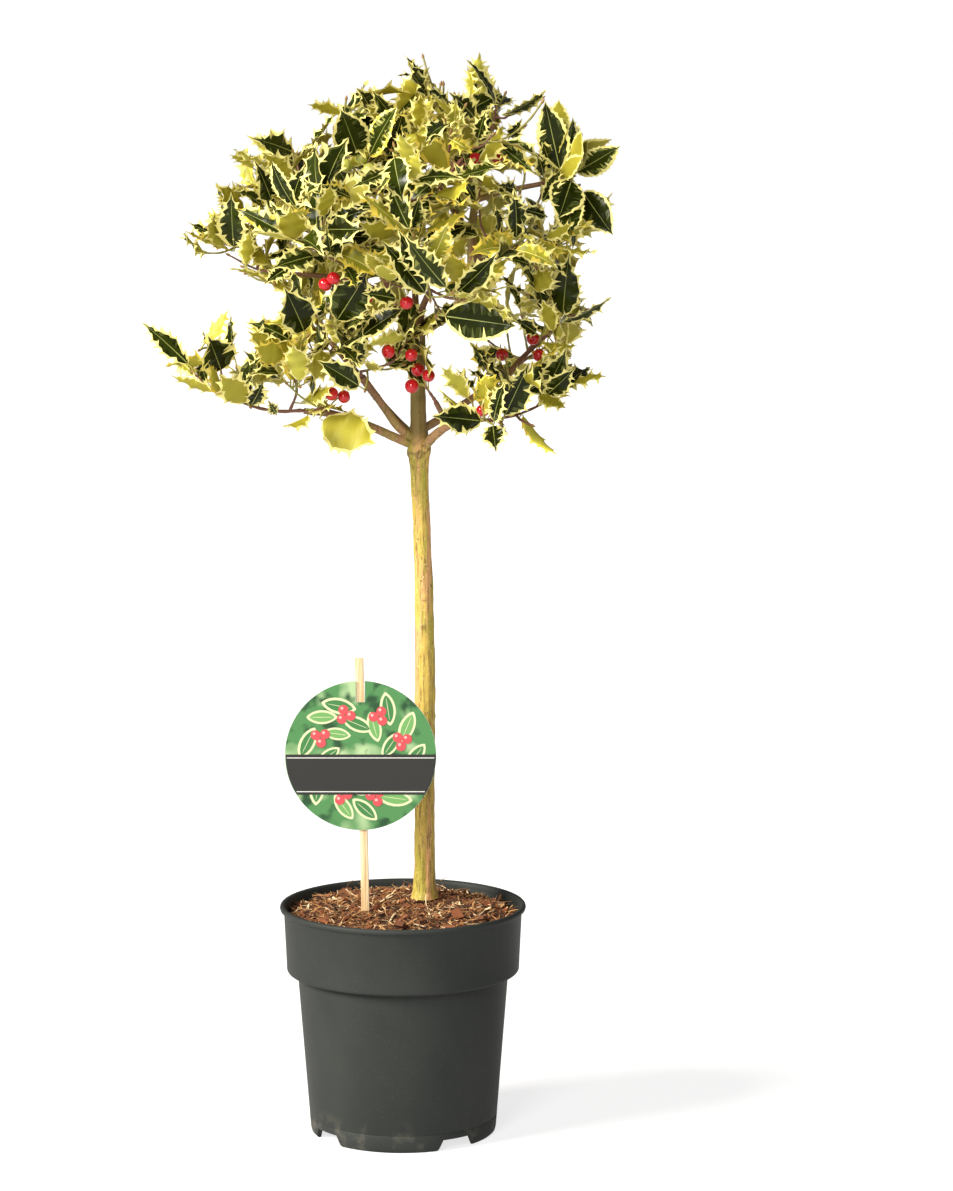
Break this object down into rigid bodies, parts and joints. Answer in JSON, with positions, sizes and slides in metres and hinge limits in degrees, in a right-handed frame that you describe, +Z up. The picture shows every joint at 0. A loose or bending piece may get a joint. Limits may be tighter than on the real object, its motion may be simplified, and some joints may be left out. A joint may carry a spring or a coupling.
{
  "type": "potted standard holly tree",
  "caption": "Standard holly tree with cream-edged spiny leaves and red berries on a clear stem, in a round dark nursery pot with a round tag on a stick.",
  "frame": {"origin": "centre of the pot's underside, on the pot's axis, on the plane it stands on", "axes": "+Z up along the pot's axis, -Y towards the front with the tag, +X to the right seen from the front"},
  "size_m": [0.379, 0.3206, 0.9135],
  "materials": {
    "pot_plastic": "satin dark grey-green moulded plastic",
    "compost": "loose brown bark and fibre compost",
    "bark": "olive to brown young bark with knots",
    "foliage": "glossy dark green leaves with cream edges, red berries, brown twigs",
    "tag_card": "printed card in greens with a dark band, no words",
    "stick_wood": "pale plain softwood"
  },
  "bodies": {
    "root": {"pot": "pot_plastic", "soil": "compost", "trunk": "bark", "bough_low_left": "bark", "bough_left_spur": "bark", "bough_mid_left": "bark", "bough_low_right": "bark", "bough_right_spur": "bark", "bough_right_reach": "bark", "bough_low_back_left": "bark", "bough_low_back_right": "bark", "bough_front": "bark", "leader_left": "bark", "leader_right": "bark", "leader_top": "bark", "bough_back": "bark", "bough_left_reach": "bark", "bough_left_front": "bark", "bough_back_left": "bark", "bough_upper_left": "bark", "bough_upper_right": "bark", "bough_right_back": "bark", "bough_right_front": "bark", "bough_upper_front": "bark", "bough_upper_back": "bark", "spray_low_left": "foliage", "spray_left_spur": "foliage", "spray_mid_left": "foliage", "spray_low_right": "foliage", "spray_knuckle": "foliage", "spray_right_reach": "foliage", "spray_low_back_left": "foliage", "spray_low_back_right": "foliage", "spray_front": "foliage", "spray_leader_left": "foliage", "spray_leader_right": "foliage", "spray_leader_top": "foliage", "spray_back": "foliage", "spray_left_reach": "foliage", "spray_left_front": "foliage", "spray_back_left": "foliage", "spray_upper_left": "foliage", "spray_upper_right": "foliage", "spray_right_back": "foliage", "spray_right_front": "foliage", "spray_upper_front": "foliage", "spray_upper_back": "foliage", "bough_high_front": "bark", "bough_high_back": "bark", "spray_high_front": "foliage", "spray_high_back": "foliage", "tag": "tag_card", "tag_stick": "stick_wood"}
  },
  "joints": []
}
